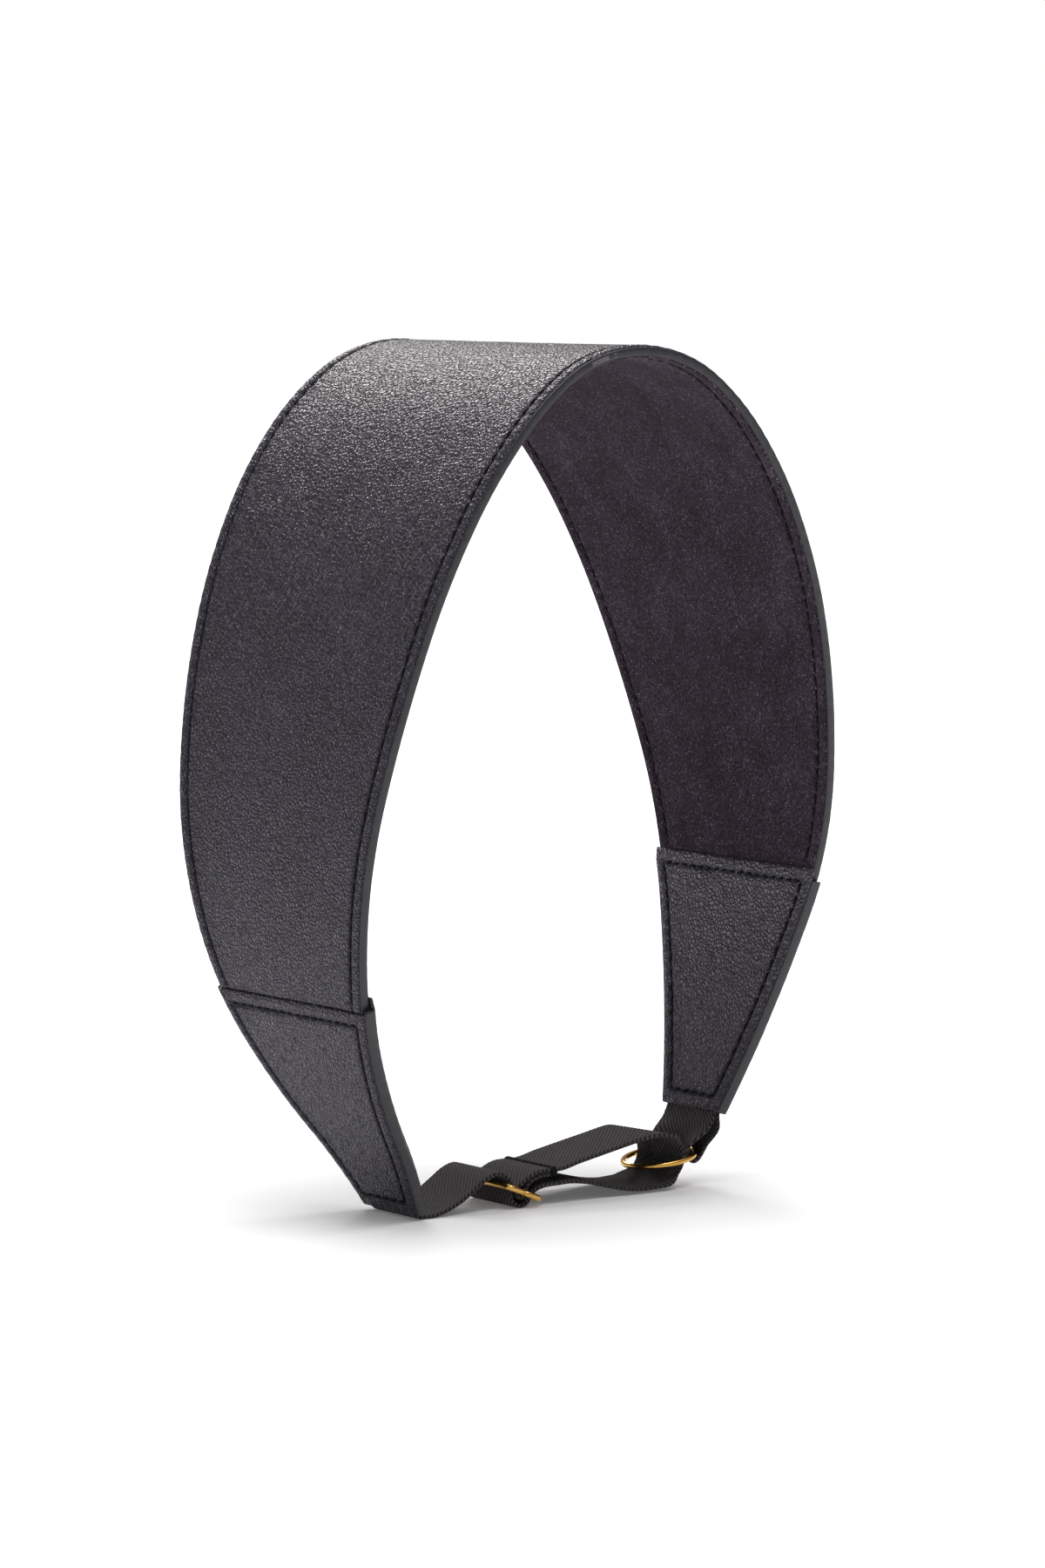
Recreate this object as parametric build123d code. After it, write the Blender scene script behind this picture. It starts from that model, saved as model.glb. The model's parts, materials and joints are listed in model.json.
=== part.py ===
from build123d import *
import math
import os

# A wide leather headband, standing like an arch on its elastic adjuster strap.
# Millimetres. X runs across the arch, Y along the axis of the head, Z up.
# Every layer is a ribbon between two depths below the arch's outer surface.

os.makedirs("parts", exist_ok=True)

# ---- the arch seen along Y: arcs of (turn in degrees, radius), down from the top
CROWN = [(35.8, 38.0), (14.9, 73.0), (11.6, 117.0), (9.9, 165.0), (8.9, 245.0), (18.4, 118.0)]
LEFT_END = [(16.3, 100.0), (9.2, 154.0), (-13.3, -139.0)]
RIGHT_END = [(4.0, 368.0), (7.4, 316.0)]

# ---- the band lying flat
BAND_HALF = 173.7       # half the length of the wide band, along the leather
BAND_SHIFT = 11.5       # the band's middle sits this far to the left of the top
TAB_LENGTH = 60.6
WIDTHS = [103.6, 104.6, 100.4, 92.3, 79.4, 61.5]   # evenly spaced, middle to end
END_SLOPE = 4.0         # how much faster the band narrows at its very end
TAB_WIDTH_TOP = 64.6
TAB_WIDTH_END = 23.2
TAB_FLOOR_GAP = 0.9     # the left tab's lowest corner above the floor
INNER_LAP = 3.3         # how far a tab's inner leather reaches up over the lining

# ---- thicknesses, as depths below the outer surface
OUTER = (0.0, 0.9)
CORE = (0.9, 1.9)
LINING = (1.9, 2.8)
TAB_OUTER = (-0.2, 0.8)
TAB_POCKET = (0.8, 2.8)
TAB_INNER = (2.8, 3.7)
PAINT = 0.4             # painted edge, measured across the band
SEWN_IN = 14.0          # how far the elastic goes into a tab
FULL = 60.0             # half width of an untrimmed layer, more than any width

# ---- the blocks that trim a layer to its outline
HEADROOM = 5.0          # above the top of the arch
OVERRUN = 6.0           # past the end of the piece being trimmed
BLOCK_REACH = 120.0     # sideways, more than half the arch
BAND_MARKS = [0.17, 0.3, 0.45, 0.6, 0.75, 0.88, 1.0]    # shares of the way to the join
TAB_MARKS = [0.0, 0.25, 0.5, 0.75, 1.0]                 # shares of a tab's length

# ---- stitching
STITCH_PITCH = 3.4
STITCH_LENGTH = 2.5
STITCH_WIDTH = 0.55
STITCH_HEIGHT = 0.3
STITCH_INSET = 3.7
ROW_MARGIN = 2.0        # bare leather at each end of a band seam
CORNER_GAP = 1.3        # between a tab's side seam and its cross seam
CROSS_MARGIN = 1.5      # bare leather at each end of a cross seam

# ---- elastic and metal
ELASTIC_WIDTH = 20.0
ELASTIC_T = 0.95
STRAP_IN_RING = 7.5     # half width of the strap where the ring squeezes it
KEEPER_IN_RING = 6.5    # half width of the keeper where the ring squeezes it
SNUG = 0.15             # gap between the elastic and the bar that it wraps
PLY_GAP = 0.05          # between two thicknesses sewn together
LAP_END = 5.7           # where the strap's sewn-down end stops
TACK_START = 4.2
TACK_LENGTH = 1.1
TACK_THREAD = 0.3
TACK_Z = 8.45           # middle of the strap where its end is sewn down
BAR = 1.6               # diameter of the slider's bars
BAR_STEP = 5.07         # between neighbouring bars
SLIDER_WIDTH = 24.4
SLIDER_ROUND = 1.6
SLIDER_C = (-4.8, 3.9)  # middle bar, x and z
SLIDER_TILT = 22.0      # right end down
RING_C = (44.0, 6.9)
RING_R = 9.05           # to the middle of the wire
RING_WIRE = 1.4
RING_TILT = 9.2         # right side up

LEFT_JOIN = -(BAND_HALF + BAND_SHIFT)
RIGHT_JOIN = BAND_HALF - BAND_SHIFT
LEFT_TIP = LEFT_JOIN - TAB_LENGTH
RIGHT_TIP = RIGHT_JOIN + TAB_LENGTH


def walk(arcs):
    """Start of each arc of one side: (length so far, angle, x, z, radius)."""
    found = []
    s, angle, x, z = 0.0, 0.0, 0.0, 0.0
    for turn, radius in arcs:
        found.append((s, angle, x, z, radius))
        turned = math.radians(turn)
        s += turned * radius
        x += radius * (math.sin(angle + turned) - math.sin(angle))
        z += radius * (math.cos(angle + turned) - math.cos(angle))
        angle += turned
    return found


SIDES = {-1: walk(CROWN + LEFT_END), 1: walk(CROWN + RIGHT_END)}


def raw(t, depth):
    """Point x, z at signed length t from the top, some depth under the surface."""
    side = -1 if t < 0 else 1
    s0, angle, x, z, radius = [a for a in SIDES[side] if a[0] <= abs(t) + 1e-9][-1]
    now = angle + (abs(t) - s0) / radius
    x += radius * (math.sin(now) - math.sin(angle)) - depth * math.sin(now)
    z += radius * (math.cos(now) - math.cos(angle)) - depth * math.cos(now)
    return side * x, z


TOP_Z = TAB_FLOOR_GAP - raw(LEFT_TIP, TAB_OUTER[0])[1]
WIDEST_LEFT = min(raw(-s, 0)[0] for s in range(80, 200))
WIDEST_RIGHT = max(raw(s, 0)[0] for s in range(80, 200))
SHIFT_X = -(WIDEST_LEFT + WIDEST_RIGHT) / 2


def at(t, depth, y=0.0):
    x, z = raw(t, depth)
    return (x + SHIFT_X, y, z + TOP_Z)


def breaks(t0, t1):
    """t0, t1 and every change of arc between them."""
    knots = [-a[0] for a in SIDES[-1]] + [a[0] for a in SIDES[1]]
    inside = sorted({k for k in knots if t0 + 0.05 < k < t1 - 0.05})
    return [t0] + inside + [t1]


def run(t0, t1, depth, y=0.0):
    stops = breaks(t0, t1)
    return [
        ThreePointArc(at(a, depth, y), at((a + b) / 2, depth, y), at(b, depth, y))
        for a, b in zip(stops, stops[1:])
    ]


def ribbon(t0, t1, depths, y0, y1):
    """A curved slab between two depths, two lengths and two y."""
    top = run(t0, t1, depths[0], y0)
    low = run(t0, t1, depths[1], y0)
    ends = [
        Line(at(t0, depths[0], y0), at(t0, depths[1], y0)),
        Line(at(t1, depths[0], y0), at(t1, depths[1], y0)),
    ]
    return extrude(make_face(Wire(top + low + ends)), y1 - y0, dir=(0, 1, 0))


def half_width(t):
    """Half width of the flat band at signed length t from the top."""
    b = min(abs(t + BAND_SHIFT), BAND_HALF)
    step = BAND_HALF / (len(WIDTHS) - 1)
    i = min(int(b / step), len(WIDTHS) - 2)
    u = b / step - i
    w = [WIDTHS[max(i - 1, 0)]] + WIDTHS[i:i + 2] + [WIDTHS[min(i + 2, len(WIDTHS) - 1)]]
    slope_a = (w[2] - w[0]) / 2
    slope_b = (w[3] - w[1]) / 2 if i + 2 < len(WIDTHS) else w[2] - w[1] - END_SLOPE
    blend = (
        w[1] * (1 + 2 * u) * (1 - u) ** 2
        + slope_a * u * (1 - u) ** 2
        + w[2] * u * u * (3 - 2 * u)
        - slope_b * u * u * (1 - u)
    )
    return blend / 2


def tab_half_width(t):
    along = max((abs(t + BAND_SHIFT) - BAND_HALF) / TAB_LENGTH, 0.0)
    return (TAB_WIDTH_TOP + (TAB_WIDTH_END - TAB_WIDTH_TOP) * along) / 2


def cutter(side, lengths, half, inset):
    """A block with the outline of one side of the band, for cutting a layer."""
    mid = sum(LINING) / 4
    spots = [(half(t) - inset, at(t, mid)[2]) for t in lengths]
    head = TOP_Z + HEADROOM
    foot = spots[-1][1] - OVERRUN
    slope = (spots[-1][0] - spots[-2][0]) / (spots[-2][1] - spots[-1][1])
    low_y = spots[-1][0] + slope * OVERRUN
    edges = [Line((0, -spots[0][0], head), (0, spots[0][0], head))]
    for sign in (-1, 1):
        start = (0, sign * spots[0][0], head)
        curve = [(0, sign * y, z) for y, z in spots]
        edges.append(Line(start, curve[0]))
        edges.append(Spline(curve))
        edges.append(Line(curve[-1], (0, sign * low_y, foot)))
    edges.append(Line((0, -low_y, foot), (0, low_y, foot)))
    return extrude(make_face(Wire(edges)), BLOCK_REACH, dir=(side, 0, 0))


def band_cut(layer, inset):
    """Trim a full layer of the wide band to its outline."""
    left = [LEFT_JOIN * m for m in BAND_MARKS]
    right = [RIGHT_JOIN * m for m in BAND_MARKS]
    both = cutter(-1, left, half_width, inset) + cutter(1, right, half_width, inset)
    return layer & both


def tab_cut(layer, side, inset):
    join = LEFT_JOIN if side < 0 else RIGHT_JOIN
    lengths = [join + side * TAB_LENGTH * m for m in TAB_MARKS]
    return layer & cutter(side, lengths, tab_half_width, inset)


def save(shape, node):
    shape.label = node
    export_step(shape, "parts/" + node + ".step")


def between(a, b, depths):
    """An untrimmed layer between two lengths, given in either order."""
    return ribbon(min(a, b), max(a, b), depths, -FULL, FULL)


# ---- the wide band
LAYERS = {"outer_leather": OUTER, "stiffener_core": CORE, "suede_lining": LINING}
for node, depths in LAYERS.items():
    save(band_cut(between(LEFT_JOIN, RIGHT_JOIN, depths), PAINT), node)

whole = between(LEFT_JOIN, RIGHT_JOIN, (OUTER[0], LINING[1]))
rim = band_cut(whole, 0.0) - band_cut(whole, PAINT)
save(Compound(rim.solids().filter_by_position(Axis.Y, -FULL, 0)), "edge_paint_front")
save(Compound(rim.solids().filter_by_position(Axis.Y, 0, FULL)), "edge_paint_back")

# ---- the tapered end tabs, each two leathers around a pocket
for side, name in ((-1, "left"), (1, "right")):
    join = LEFT_JOIN if side < 0 else RIGHT_JOIN
    tip = LEFT_TIP if side < 0 else RIGHT_TIP
    stop = tip - side * SEWN_IN
    save(tab_cut(between(join, tip, TAB_OUTER), side, PAINT), name + "_tab_outer")
    lap = join - side * INNER_LAP
    save(tab_cut(between(lap, tip, TAB_INNER), side, PAINT), name + "_tab_inner")
    pad = between(join, stop, TAB_POCKET)
    if side < 0:
        pad += between(stop, tip, (TAB_POCKET[0] + ELASTIC_T, TAB_POCKET[1]))
    save(tab_cut(pad, side, PAINT), name + "_tab_core")
    block = between(join, tip, (TAB_OUTER[0], TAB_INNER[1]))
    skin = tab_cut(block, side, 0.0) - tab_cut(block, side, PAINT)
    save(Compound(skin.solids()), name + "_tab_edge")

# ---- stitches, lying on the leather
def stitch(t, y, depth, outward):
    half = STITCH_LENGTH / 2
    depths = (depth - STITCH_HEIGHT, depth) if outward else (depth, depth + STITCH_HEIGHT)
    return ribbon(t - half, t + half, depths, y - STITCH_WIDTH / 2, y + STITCH_WIDTH / 2)


def cross_stitch(t, y, depth, outward):
    half = STITCH_WIDTH / 2
    depths = (depth - STITCH_HEIGHT, depth) if outward else (depth, depth + STITCH_HEIGHT)
    return ribbon(t - half, t + half, depths, y - STITCH_LENGTH / 2, y + STITCH_LENGTH / 2)


def row(t0, t1):
    count = round((t1 - t0) / STITCH_PITCH)
    pitch = (t1 - t0) / count
    return [t0 + (i + 0.5) * pitch for i in range(count)]


for sign, name in ((-1, "front"), (1, "back")):
    made = []
    for depth, outward, bare in (
        (OUTER[0], True, ROW_MARGIN),
        (LINING[1], False, ROW_MARGIN + INNER_LAP),
    ):
        for t in row(LEFT_JOIN + bare, RIGHT_JOIN - bare):
            made.append(stitch(t, sign * (half_width(t) - STITCH_INSET), depth, outward))
    save(Compound(made), "band_stitches_" + name)

for side, name in ((-1, "left"), (1, "right")):
    tip = (LEFT_TIP if side < 0 else RIGHT_TIP) - side * STITCH_INSET
    made = []
    for depth, outward, lap in ((TAB_OUTER[0], True, 0.0), (TAB_INNER[1], False, INNER_LAP)):
        top = (LEFT_JOIN if side < 0 else RIGHT_JOIN) + side * (STITCH_INSET - lap)
        for t in row(min(top, tip) + CORNER_GAP, max(top, tip) - CORNER_GAP):
            for sign in (-1, 1):
                y = sign * (tab_half_width(t) - STITCH_INSET)
                made.append(stitch(t, y, depth, outward))
        for t in (top, tip):
            reach = tab_half_width(t) - STITCH_INSET - CROSS_MARGIN
            for y in row(-reach, reach):
                made.append(cross_stitch(t, y, depth, outward))
    save(Compound(made), name + "_tab_stitches")


# ---- elastic: tape swept along curves in the XZ plane
def p(x, z):
    return (x, 0, z)


def heading(t):
    """Unit vector along the leather, away from the top."""
    side = -1 if t < 0 else 1
    ahead, here = at(t + side * 0.01, 0.0), at(t, 0.0)
    dx, dz = ahead[0] - here[0], ahead[2] - here[2]
    size = math.hypot(dx, dz)
    return (dx / size, 0, dz / size)


def smooth(spots, first, last):
    """Smooth curve through x, z points, leaving and arriving in given directions."""
    ways = [first]
    for before, after in zip(spots, spots[2:]):
        dx, dz = after[0] - before[0], after[1] - before[1]
        ways.append((dx / math.hypot(dx, dz), dz / math.hypot(dx, dz)))
    ways.append(last)
    edges = []
    for a, b, way_a, way_b in zip(spots, spots[1:], ways, ways[1:]):
        pull = math.dist(a, b) / 3
        near_a = (a[0] + way_a[0] * pull, a[1] + way_a[1] * pull)
        near_b = (b[0] - way_b[0] * pull, b[1] - way_b[1] * pull)
        edges.append(Bezier(p(*a), p(*near_a), p(*near_b), p(*b)))
    return edges


def beside(edge, gap):
    """The curve that runs beside an edge at a fixed gap."""
    count = 2 if edge.geom_type == GeomType.CIRCLE else 6
    spots = []
    for i in range(count + 1):
        here, way = edge @ (i / count), edge % (i / count)
        spots.append((here.X + way.Z * gap, 0, here.Z - way.X * gap))
    if edge.geom_type == GeomType.LINE:
        return Line(spots[0], spots[-1])
    if edge.geom_type == GeomType.CIRCLE:
        return ThreePointArc(*spots)
    return Spline(spots, tangents=[edge % 0, edge % 1])


def tape(edges):
    """Tape of the elastic's thickness and width, along a curve."""
    one = [beside(e, ELASTIC_T / 2) for e in edges]
    other = [beside(e, -ELASTIC_T / 2) for e in edges]
    ends = [Line(one[0] @ 0, other[0] @ 0), Line(one[-1] @ 1, other[-1] @ 1)]
    side = make_face(Wire(one + other + ends))
    return extrude(side, ELASTIC_WIDTH / 2, dir=(0, 1, 0), both=True)


def mirrored_outline(spots):
    """Closed polygon through (place, half width) pairs and their mirror."""
    return spots + [(place, -half) for place, half in reversed(spots)]


HALF = ELASTIC_WIDTH / 2
OUT_LEG = (TAB_POCKET[0], TAB_POCKET[0] + ELASTIC_T)
IN_LEG = (TAB_POCKET[1] - ELASTIC_T, TAB_POCKET[1])
RIGHT, LEFTWARD, UP = (1, 0), (-1, 0), (0, 1)
SLANT = -math.sqrt(0.5)

# The adjuster strap: out of the left tab, along the floor, over the slider's
# left bar, under its middle bar, over its right bar, along to the ring, up
# through it, back over the top and around the slider's middle bar.
mouth = at(LEFT_TIP, sum(OUT_LEG) / 2)
down = heading(LEFT_TIP)
drop = mouth[2] - ELASTIC_T / 2
bend_r = drop / (1 - down[0])
centre = (mouth[0] - down[2] * bend_r, mouth[2] + down[0] * bend_r)
floor_z = ELASTIC_T / 2
half_turn = math.acos(down[0]) / 2
bend_mid = (
    centre[0] - bend_r * math.sin(half_turn),
    centre[1] - bend_r * math.cos(half_turn),
)
cx, cz = SLIDER_C
wrap = BAR / 2 + SNUG + ELASTIC_T / 2
diag = wrap * math.sqrt(0.5)
LEFT_HUMP = [(-31.0, floor_z), (-26.4, 1.5), (-22.0, 3.4), (-18.2, 5.8), (-14.6, 8.1), (-11.2, 9.0),
             (-8.6, 7.7), (-7.65, 5.7), (-7.9, 3.8), (-7.2, 1.8), (-4.9, floor_z)]
OVER_BAR = [(-4.9, floor_z), (-2.9, 1.2), (-1.95, 2.7), (-0.5, 4.0), (2.2, 4.8), (6.0, 5.0), (10.0, 4.8),
            (15.5, 4.0), (21.5, 2.1), (27.5, 0.75), (31.5, floor_z)]
RING_LOOP = [(35.0, floor_z), (38.6, 1.3), (41.5, 2.8), (43.9, 5.1), (45.1, 7.9), (44.6, 10.2), (42.8, 12.0),
             (40.0, 13.3), (36.4, 13.7), (32.8, 13.3), (27.5, 12.3), (20.4, 10.9), (13.0, 9.5), (6.4, TACK_Z)]
TO_WRAP = [(3.2, TACK_Z), (0.6, 8.3), (-1.8, 7.5), (-3.9, 6.3), (cx - diag, cz + diag)]
SHORT_END = [(cx + wrap, cz), (-2.9, 5.3), (-1.2, 6.5), (0.8, 7.15), (3.2, TACK_Z - ELASTIC_T - PLY_GAP)]
strap_path = [
    ThreePointArc(mouth, p(*bend_mid), p(centre[0], floor_z)),
    Line(p(centre[0], floor_z), p(*LEFT_HUMP[0])),
    *smooth(LEFT_HUMP, RIGHT, RIGHT),
    *smooth(OVER_BAR, RIGHT, RIGHT),
    Line(p(*OVER_BAR[-1]), p(*RING_LOOP[0])),
    *smooth(RING_LOOP, RIGHT, LEFTWARD),
    Line(p(*RING_LOOP[-1]), p(*TO_WRAP[0])),
    *smooth(TO_WRAP, LEFTWARD, (SLANT, SLANT)),
    ThreePointArc(p(cx - diag, cz + diag), p(cx - diag, cz - diag), p(cx, cz - wrap)),
    ThreePointArc(p(cx, cz - wrap), p(cx + diag, cz - diag), p(cx + wrap, cz)),
    *smooth(SHORT_END, UP, RIGHT),
    Line(p(*SHORT_END[-1]), p(LAP_END, SHORT_END[-1][1])),
]
plan = mirrored_outline([
    (-60.0, 12.0), (24.0, 12.0), (26.0, HALF), (37.5, STRAP_IN_RING), (60.0, STRAP_IN_RING),
])
plan_block = extrude(make_face(Polyline(*[(x, y, -5) for x, y in plan], close=True)), 40, dir=(0, 0, 1))
strap = tape(strap_path) & plan_block
strap += ribbon(LEFT_TIP, LEFT_TIP + SEWN_IN, OUT_LEG, -HALF, HALF)
save(strap, "adjuster_strap")

# The tack that holds the strap's end: thread right around both thicknesses.
tack_low, tack_high = TACK_Z - 1.5 * ELASTIC_T - PLY_GAP, TACK_Z + 0.5 * ELASTIC_T
tack_mid = (tack_low + tack_high) / 2
tack_at = Plane(origin=(TACK_START, 0, tack_mid), x_dir=(0, 1, 0), z_dir=(1, 0, 0))
tack_hole = Rectangle(ELASTIC_WIDTH, tack_high - tack_low)
tack_rim = Rectangle(ELASTIC_WIDTH + 2 * TACK_THREAD, tack_high - tack_low + 2 * TACK_THREAD)
save(extrude(tack_at * (tack_rim - tack_hole), TACK_LENGTH, dir=(1, 0, 0)), "strap_tack")

# The keeper loop: both ends in the right tab, folded around the ring.
start = at(RIGHT_TIP, sum(IN_LEG) / 2)
finish = at(RIGHT_TIP, sum(OUT_LEG) / 2)
fall = heading(RIGHT_TIP)
KEEPER = [(52.4, 14.4), (50.3, 11.4), (48.6, 8.9), (48.2, 7.2), (49.3, 5.8), (51.5, 5.4), (53.8, 6.4),
          (54.9, 8.8), (55.1, 12.0), (55.2, 15.2)]
keeper_path = smooth(
    [(start[0], start[2])] + KEEPER + [(finish[0], finish[2])],
    (fall[0], fall[2]),
    (-fall[0], -fall[2]),
)
side_view = mirrored_outline([
    (40.0, 12.0), (17.0, 12.0), (15.5, HALF), (10.5, KEEPER_IN_RING), (-5.0, KEEPER_IN_RING),
])
side_face = make_face(Polyline(*[(30, y, z) for z, y in side_view], close=True))
keeper = tape(keeper_path) & extrude(side_face, 40, dir=(1, 0, 0))
keeper += ribbon(RIGHT_TIP - SEWN_IN, RIGHT_TIP, IN_LEG, -HALF, HALF)
keeper += ribbon(RIGHT_TIP - SEWN_IN, RIGHT_TIP, OUT_LEG, -HALF, HALF)
save(keeper, "keeper_loop")

# ---- metal: the three-bar slider and the round ring
def rod(path, diameter):
    return sweep(Plane(origin=path @ 0, z_dir=path % 0) * Circle(diameter / 2), path=path)


reach = (SLIDER_WIDTH - BAR) / 2        # to the middle of the end rails
straight = reach - SLIDER_ROUND
corner = SLIDER_ROUND * (1 - math.sqrt(0.5))
slider = rod(Line((0, -straight - 0.9, 0), (0, straight + 0.9, 0)), BAR)
for sign in (-1, 1):
    near, far, bar = sign * SLIDER_ROUND, sign * (BAR_STEP - SLIDER_ROUND), sign * BAR_STEP
    bend, turn = sign * corner, sign * (BAR_STEP - corner)
    lobe = Wire([
        ThreePointArc((0, straight, 0), (bend, reach - corner, 0), (near, reach, 0)),
        Line((near, reach, 0), (far, reach, 0)),
        ThreePointArc((far, reach, 0), (turn, reach - corner, 0), (bar, straight, 0)),
        Line((bar, straight, 0), (bar, -straight, 0)),
        ThreePointArc((bar, -straight, 0), (turn, corner - reach, 0), (far, -reach, 0)),
        Line((far, -reach, 0), (near, -reach, 0)),
        ThreePointArc((near, -reach, 0), (bend, corner - reach, 0), (0, -straight, 0)),
    ])
    slider += rod(lobe, BAR - 0.1)
save(Pos(cx, 0, cz) * Rot(0, SLIDER_TILT, 0) * slider, "slider")

ring = Torus(RING_R, RING_WIRE / 2)
save(Pos(RING_C[0], 0, RING_C[1]) * Rot(0, -RING_TILT, 0) * ring, "ring")
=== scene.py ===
import json
import math

import bmesh
import bpy
import numpy as np
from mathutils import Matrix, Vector

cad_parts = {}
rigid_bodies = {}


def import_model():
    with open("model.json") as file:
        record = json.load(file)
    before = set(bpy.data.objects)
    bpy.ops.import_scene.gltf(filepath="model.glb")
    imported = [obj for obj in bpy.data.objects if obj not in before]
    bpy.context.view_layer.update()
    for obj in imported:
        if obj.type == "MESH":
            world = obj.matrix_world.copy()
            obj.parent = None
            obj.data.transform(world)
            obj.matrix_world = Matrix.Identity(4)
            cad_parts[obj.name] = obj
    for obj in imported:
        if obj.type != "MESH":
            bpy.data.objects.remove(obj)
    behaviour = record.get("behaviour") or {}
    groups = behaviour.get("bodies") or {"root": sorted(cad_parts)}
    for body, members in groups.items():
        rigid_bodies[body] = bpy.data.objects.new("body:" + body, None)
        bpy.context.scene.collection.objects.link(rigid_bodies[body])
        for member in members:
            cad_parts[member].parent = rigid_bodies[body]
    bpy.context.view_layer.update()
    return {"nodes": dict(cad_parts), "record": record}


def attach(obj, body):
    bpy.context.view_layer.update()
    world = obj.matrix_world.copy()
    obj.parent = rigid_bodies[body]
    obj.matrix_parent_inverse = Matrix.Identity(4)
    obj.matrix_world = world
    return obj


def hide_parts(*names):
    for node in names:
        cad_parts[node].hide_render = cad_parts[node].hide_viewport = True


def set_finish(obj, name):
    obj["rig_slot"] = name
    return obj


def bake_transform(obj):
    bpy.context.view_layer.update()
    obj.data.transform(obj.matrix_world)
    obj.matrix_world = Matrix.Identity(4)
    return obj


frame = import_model()

# A wide leather headband on its elastic adjuster strap. Shapes are worked out in
# millimetres in the row frame and written to the meshes in metres.

MM = 0.001
rng = np.random.default_rng(7)

# ---- the arch seen along Y: arcs of (turn in degrees, radius), down from the top
CROWN = [(35.8, 38.0), (14.9, 73.0), (11.6, 117.0), (9.9, 165.0), (8.9, 245.0), (18.4, 118.0)]
LEFT_END = [(16.3, 100.0), (9.2, 154.0), (-13.3, -139.0)]
RIGHT_END = [(4.0, 368.0), (7.4, 316.0)]
BAND_HALF = 173.7
BAND_SHIFT = 11.5
TAB_LENGTH = 60.6
WIDTHS = np.array([103.6, 104.6, 100.4, 92.3, 79.4, 61.5])     # middle to end
END_SLOPE = 4.0         # extra narrowing at the very end, for each step between two widths
TAB_WIDTH_TOP, TAB_WIDTH_END = 64.6, 23.2
TAB_FLOOR_GAP = 0.9     # under the tip of the left tab
INNER_LAP = 3.3         # how far a tab's inner leather reaches up over the lining
ROW_MARGIN = 2.0        # bare leather at each end of a band seam
LEFT_JOIN = -(BAND_HALF + BAND_SHIFT)
RIGHT_JOIN = BAND_HALF - BAND_SHIFT
LEFT_TIP, RIGHT_TIP = LEFT_JOIN - TAB_LENGTH, RIGHT_JOIN + TAB_LENGTH

# ---- layers, as depths below the outer surface
OUTER_TOP, OUTER_LOW = 0.0, 0.9
SUEDE_TOP, SUEDE_LOW = 1.9, 2.8
TAB_OUT_TOP, TAB_OUT_LOW = -0.2, 0.8
TAB_IN_TOP, TAB_IN_LOW = 2.8, 3.7
SINK_LIMIT = 0.3        # how far past the middle of its skin a face may sink
PAINT = 0.4
BAND_EDGE = (0.35, 2.45)        # depths that the painted beads span
TAB_EDGE = (0.35, 3.1)
POCKET = (0.8, 2.8)     # between a tab's skins

# ---- seams
PITCH = 3.4
SEAM = 3.7              # from the edge to the stitch line
THREAD_R = 0.34
STITCH_SLANT, SLANT_SPREAD = 0.20, 0.06
SEAT_OUTSIDE, SEAT_SUEDE, SEAT_TAB = 0.22, 0.20, 0.24      # how deep a stitch line lies
GROOVE_DEPTH, GROOVE_WIDTH = 0.60, 0.55
PUFF = 0.24             # swell of the border between the seam and the edge
SCALLOP = 0.35          # how far the groove bows out between two stitches
STITCH_SHARE = 0.38     # half a stitch's length, as a share of the pitch


# ======== the leather's shape ========
def walk(arcs):
    """Start of each arc of one side, as columns: length, angle, x, z, radius."""
    rows = []
    s, angle, x, z = 0.0, 0.0, 0.0, 0.0
    for turn, radius in arcs:
        rows.append((s, angle, x, z, radius))
        turned = math.radians(turn)
        s += turned * radius
        x += radius * (math.sin(angle + turned) - math.sin(angle))
        z += radius * (math.cos(angle + turned) - math.cos(angle))
        angle += turned
    return np.array(rows).T


SIDES = {-1: walk(CROWN + LEFT_END), 1: walk(CROWN + RIGHT_END)}


def profile(t):
    """x, z of the outer surface and its outward normal at signed length t from the top."""
    t = np.asarray(t, float)
    out = np.zeros((4,) + t.shape)
    for side, (s0, a0, x0, z0, radius) in SIDES.items():
        here = t < 0 if side < 0 else t >= 0
        s = np.abs(t[here])
        i = np.clip(np.searchsorted(s0, s, side="right") - 1, 0, len(s0) - 1)
        angle = a0[i] + (s - s0[i]) / radius[i]
        out[0][here] = side * (x0[i] + radius[i] * (np.sin(angle) - np.sin(a0[i])))
        out[1][here] = z0[i] + radius[i] * (np.cos(angle) - np.cos(a0[i]))
        out[2][here] = side * np.sin(angle)
        out[3][here] = np.cos(angle)
    return out


def raw_spot(t, y, depth):
    x, z, nx, nz = profile(t)
    return np.stack([x - depth * nx, np.broadcast_to(y, x.shape), z - depth * nz], -1)


TOP_Z = TAB_FLOOR_GAP - raw_spot(np.array([LEFT_TIP]), 0.0, TAB_OUT_TOP)[0, 2]


def spot(t, y, depth):
    """Points in millimetres at length t, across y, and depth under the outer surface."""
    t, y, depth = np.broadcast_arrays(np.asarray(t, float), y, depth)
    return raw_spot(t, y, depth) + np.array([0.0, 0.0, TOP_Z])


def band_half_width(t):
    b = np.minimum(np.abs(np.asarray(t, float) + BAND_SHIFT), BAND_HALF)
    step = BAND_HALF / (len(WIDTHS) - 1)
    i = np.minimum((b / step).astype(int), len(WIDTHS) - 2)
    u = b / step - i
    before = WIDTHS[np.maximum(i - 1, 0)]
    after = WIDTHS[np.minimum(i + 2, len(WIDTHS) - 1)]
    a, c = WIDTHS[i], WIDTHS[i + 1]
    slope_a = (c - before) / 2
    slope_c = np.where(i + 2 < len(WIDTHS), (after - a) / 2, c - a - END_SLOPE)
    blend = (
        a * (1 + 2 * u) * (1 - u) ** 2 + slope_a * u * (1 - u) ** 2
        + c * u * u * (3 - 2 * u) - slope_c * u * u * (1 - u)
    )
    return blend / 2


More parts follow.
